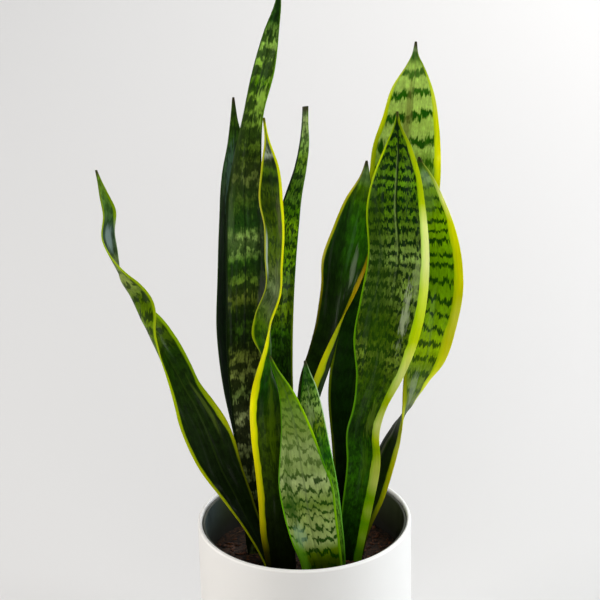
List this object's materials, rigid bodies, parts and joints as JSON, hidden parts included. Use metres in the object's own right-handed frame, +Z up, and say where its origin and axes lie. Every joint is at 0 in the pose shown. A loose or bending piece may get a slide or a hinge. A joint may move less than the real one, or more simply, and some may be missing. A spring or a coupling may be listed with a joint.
{
  "type": "potted snake plant",
  "caption": "Snake plant with upright, banded, yellow-edged sword leaves standing in soil in a dark grow pot inside a plain white cylinder pot.",
  "frame": {"origin": "centre of the white pot's flat underside", "axes": "+Z up along the pot's axis towards the leaf tips; -Y towards the picture's viewer; +X to the viewer's right"},
  "size_m": [0.2597, 0.16, 0.556],
  "materials": {
    "pot_white": "satin white glaze",
    "grow_pot_dark": "smooth dark plastic",
    "soil_brown": "loose potting soil with bark",
    "leaf_far_left_skin": "waxy leaf skin",
    "leaf_back_left_skin": "waxy leaf skin",
    "leaf_tall_left_skin": "waxy leaf skin",
    "leaf_twisted_skin": "waxy leaf skin",
    "leaf_blunt_skin": "waxy leaf skin",
    "leaf_small_front_skin": "waxy leaf skin",
    "leaf_small_second_skin": "waxy leaf skin",
    "leaf_dark_centre_skin": "waxy leaf skin",
    "leaf_broad_right_skin": "waxy leaf skin",
    "leaf_tall_right_skin": "waxy leaf skin",
    "leaf_far_right_skin": "waxy leaf skin"
  },
  "bodies": {
    "root": {"pot": "pot_white", "grow_pot": "grow_pot_dark", "soil": "soil_brown", "leaf_far_left": "leaf_far_left_skin", "leaf_back_left": "leaf_back_left_skin", "leaf_tall_left": "leaf_tall_left_skin", "leaf_twisted": "leaf_twisted_skin", "leaf_blunt": "leaf_blunt_skin", "leaf_small_front": "leaf_small_front_skin", "leaf_small_second": "leaf_small_second_skin", "leaf_dark_centre": "leaf_dark_centre_skin", "leaf_broad_right": "leaf_broad_right_skin", "leaf_tall_right": "leaf_tall_right_skin", "leaf_far_right": "leaf_far_right_skin"}
  },
  "joints": []
}
